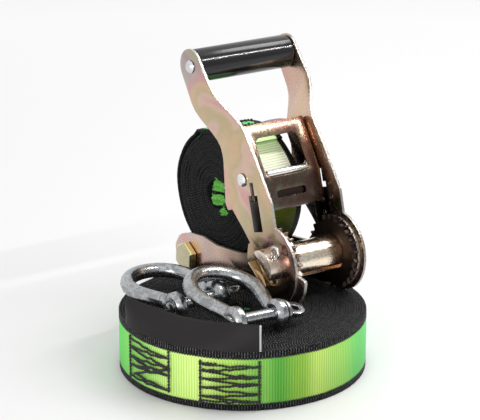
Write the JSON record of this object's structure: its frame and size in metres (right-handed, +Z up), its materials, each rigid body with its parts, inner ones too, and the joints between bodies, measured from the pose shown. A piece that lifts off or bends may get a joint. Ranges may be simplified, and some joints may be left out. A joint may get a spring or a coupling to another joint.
{
  "type": "slackline",
  "caption": "Slackline kit at rest: long flat webbing wound in a roll, wide-handle ratchet with its short strap wound in the frame, and bow shackles with screw pins.",
  "frame": {"origin": "on the axis of the big roll of webbing, at the surface that the roll lies on", "axes": "+Z up; +Y along the ratchet's drum; the ratchet's frame runs from the drum towards -X"},
  "size_m": [0.244, 0.2125, 0.2502],
  "materials": {
    "green_webbing": "woven polyester, black edges",
    "label_satin": "satin",
    "yellow_passivated_steel": "yellow passivated zinc",
    "dark_passivated_steel": "dark passivated zinc",
    "galvanised_steel": "hot-dip galvanised",
    "bright_steel": "bright zinc",
    "black_grip": "glossy"
  },
  "bodies": {
    "line": {"line_roll": "green_webbing", "line_label": "label_satin"},
    "ratchet_frame": {"frame_plate_left": "yellow_passivated_steel", "frame_plate_right": "yellow_passivated_steel", "clamp_bolt": "yellow_passivated_steel", "clamp_nut": "yellow_passivated_steel", "clamp_sleeve": "bright_steel", "lock_guide": "yellow_passivated_steel", "lock_spring": "bright_steel", "strap_loop": "green_webbing"},
    "handle": {"handle_plate_left": "yellow_passivated_steel", "handle_plate_right": "yellow_passivated_steel", "handle_web": "yellow_passivated_steel", "web_rivet_left": "bright_steel", "web_rivet_right": "bright_steel", "grip_rod": "bright_steel", "drive_spring_left": "bright_steel", "drive_spring_right": "bright_steel"},
    "grip": {"grip_tube": "black_grip"},
    "drum": {"half_shaft_upper": "yellow_passivated_steel", "half_shaft_lower": "yellow_passivated_steel", "ratchet_wheel_left": "yellow_passivated_steel", "ratchet_wheel_right": "yellow_passivated_steel", "split_pin_left": "bright_steel", "split_pin_right": "bright_steel", "shaft_clip": "yellow_passivated_steel"},
    "drive_pawl_body": {"drive_pawl": "dark_passivated_steel"},
    "lock_pawl_body": {"lock_pawl": "dark_passivated_steel"},
    "small_roll": {"strap_roll": "green_webbing"},
    "shackle_a": {"shackle_bow_a": "galvanised_steel"},
    "pin_a": {"shackle_pin_a": "galvanised_steel"},
    "shackle_b": {"shackle_bow_b": "galvanised_steel"},
    "pin_b": {"shackle_pin_b": "galvanised_steel"}
  },
  "joints": [
    {"name": "ratchet_lift", "type": "slide", "parent": "line", "child": "ratchet_frame", "axis": [0, 0, 1], "range_m": [0, 0.1]},
    {"name": "handle_swing", "type": "hinge", "parent": "ratchet_frame", "child": "handle", "pos_m": [0.0124, 0.0573, 0.0843], "axis": [0, 1, 0], "range_deg": [0, 90]},
    {"name": "grip_spin", "type": "hinge", "parent": "handle", "child": "grip", "pos_m": [-0.08484, 0.0573, 0.23518], "axis": [0, 1, 0], "continuous": true},
    {"name": "drum_spin", "type": "hinge", "parent": "ratchet_frame", "child": "drum", "pos_m": [0.0124, 0.0573, 0.0843], "axis": [0, 1, 0], "continuous": true},
    {"name": "drive_pawl_slide", "type": "slide", "parent": "handle", "child": "drive_pawl_body", "axis": [-0.2689, 0, 0.9632], "range_m": [0, 0.0045], "stiffness_N_per_m": 300, "springref_m": -0.012},
    {"name": "lock_pawl_slide", "type": "slide", "parent": "ratchet_frame", "child": "lock_pawl_body", "axis": [-1, 0, 0], "range_m": [0, 0.006], "stiffness_N_per_m": 300, "springref_m": -0.012},
    {"name": "strap_roll_pull", "type": "slide", "parent": "ratchet_frame", "child": "small_roll", "axis": [-0.8, 0, 0.6], "range_m": [0, 0.1]},
    {"name": "shackle_a_lift", "type": "slide", "parent": "line", "child": "shackle_a", "axis": [0, 0, 1], "range_m": [0, 0.05]},
    {"name": "pin_a_draw", "type": "slide", "parent": "shackle_a", "child": "pin_a", "axis": [-0.1322, 0.9911, -0.014], "range_m": [0, 0.008]},
    {"name": "shackle_b_lift", "type": "slide", "parent": "shackle_a", "child": "shackle_b", "axis": [0, 0, 1], "range_m": [0, 0.05]},
    {"name": "pin_b_draw", "type": "slide", "parent": "shackle_b", "child": "pin_b", "axis": [-0.0695, 0.9939, -0.0854], "range_m": [0, 0.008]}
  ]
}
